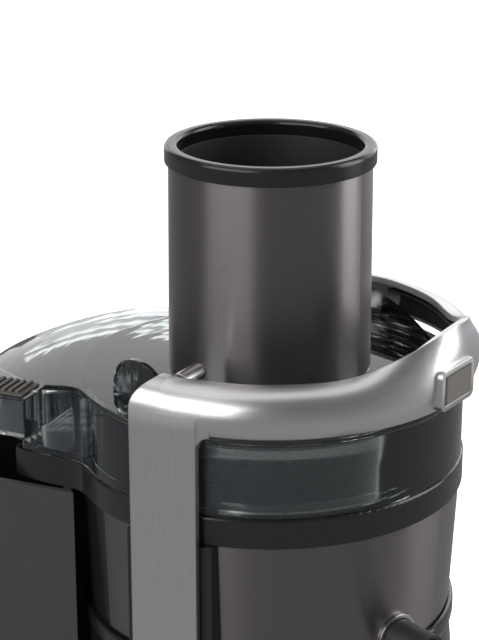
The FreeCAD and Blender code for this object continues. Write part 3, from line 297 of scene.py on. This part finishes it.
# %%
def satin_stainless():
    surface = Surface("stainless_satin_turned")
    east, north, height, arc, _ = about_axis(surface)
    marks = grain(surface, arc, height, length=9.0, width=0.2)
    surface.set(Base_Color=tinted(surface, linear("#cfcecc"), marks, 0.85, 1.1),
                Metallic=1.0,
                Roughness=spread_of(surface, marks, 0.2, 0.34),
                Anisotropic=0.4,
                Tangent=surface.add("ShaderNodeCombineXYZ", {2: 1.0}),
                Normal=soft_edges(surface, marks, distance=0.015, strength=0.3))
    return surface.material


MATERIALS["satin_stainless"] = satin_stainless()
print("materials:", len(MATERIALS))

# %% [markdown]
# ## Every part gets the finish of its slot

# %%
for part in frame["record"]["subparts"]:
    mesh = nodes[part["node"]].data
    mesh.materials.clear()
    mesh.materials.append(MATERIALS[part["material_slot"]])

# %% [markdown]
# ## Floor, lamps and camera
#
# A pale floor fills the background.  Around the juicer stand a wide soft box in front on the
# left, a tall narrow one on the right, a broad one behind and one overhead.  Each lamp is given
# by the brightness of its face, so its size can change without changing what it looks like in
# the steel.

# %%
VIEW_TURN = 30.0
to_camera = Vector((math.sin(math.radians(VIEW_TURN)), -math.cos(math.radians(VIEW_TURN)), 0.0))
to_right = Vector((math.cos(math.radians(VIEW_TURN)), math.sin(math.radians(VIEW_TURN)), 0.0))


def stand(left, distance, height):
    """A place at an angle to the left of the camera, seen from the chute's axis."""
    turn = math.radians(left)
    way = to_camera * math.cos(turn) - to_right * math.sin(turn)
    return Vector((AXIS_X, AXIS_Y, 0.0)) + way * distance + Vector((0.0, 0.0, height))


def lamp(name, left, distance, height, wide, tall, brightness, aim=0.30, tint="#ffffff"):
    light = bpy.data.lights.new(name, "AREA")
    light.shape = "RECTANGLE"
    light.size = wide
    light.size_y = tall
    light.energy = brightness * math.pi * wide * tall
    light.color = linear(tint)[:3]
    thing = bpy.data.objects.new(name, light)
    bpy.context.scene.collection.objects.link(thing)
    thing.location = stand(left, distance, height)
    target = Vector((AXIS_X, AXIS_Y, aim))
    thing.rotation_euler = (target - thing.location).to_track_quat("-Z", "Y").to_euler()
    return thing


lamp("key_box", 46, 1.25, 0.85, 1.4, 1.1, 2.6)
lamp("right_strip", -98, 1.15, 0.70, 0.6, 1.3, 3.6)
lamp("right_back_box", -140, 1.40, 0.60, 0.9, 1.0, 1.3, tint="#dcdfee")
lamp("back_box", 180, 1.70, 0.75, 2.6, 1.2, 1.1)
lamp("top_box", 150, 0.35, 1.60, 1.5, 1.2, 0.8)

world = bpy.data.worlds.new("studio")
bpy.context.scene.world = world
world.use_nodes = True
tree = world.node_tree
direction = tree.nodes.new("ShaderNodeTexCoord")
split = tree.nodes.new("ShaderNodeSeparateXYZ")
tree.links.new(direction.outputs["Generated"], split.inputs[0])
ramp = tree.nodes.new("ShaderNodeMapRange")
tree.links.new(split.outputs[2], ramp.inputs[0])
for index, value in ((1, -0.6), (2, 0.6), (3, 0.30), (4, 0.16)):
    ramp.inputs[index].default_value = value
tree.links.new(ramp.outputs[0], tree.nodes["Background"].inputs["Color"])

floor_mesh = bpy.data.meshes.new("floor")
reach = 40.0
floor_mesh.from_pydata([(-reach, -reach, 0), (reach, -reach, 0), (reach, reach, 0),
                        (-reach, reach, 0)], [], [(0, 1, 2, 3)])
floor = bpy.data.objects.new("floor", floor_mesh)
bpy.context.scene.collection.objects.link(floor)
pale = Surface("pale_floor")
pale.set(Base_Color=linear("#e8e8e8"), Roughness=0.9, Emission_Color=linear("#ffffff"),
         Emission_Strength=0.9)
floor_mesh.materials.append(pale.material)
floor.visible_glossy = False

camera_data = bpy.data.cameras.new("camera")
camera_data.sensor_width = 36.0
camera_data.lens = 109.2
camera = bpy.data.objects.new("camera", camera_data)
bpy.context.scene.collection.objects.link(camera)
camera.location = stand(0, 0.778, BAND + 0.339)
camera.rotation_euler = (math.radians(90.0 - 19.28), 0.0, math.radians(VIEW_TURN + 0.946))
bpy.context.scene.camera = camera
bpy.context.scene.view_settings.view_transform = "Standard"
print("camera at", [round(value, 3) for value in camera.location])
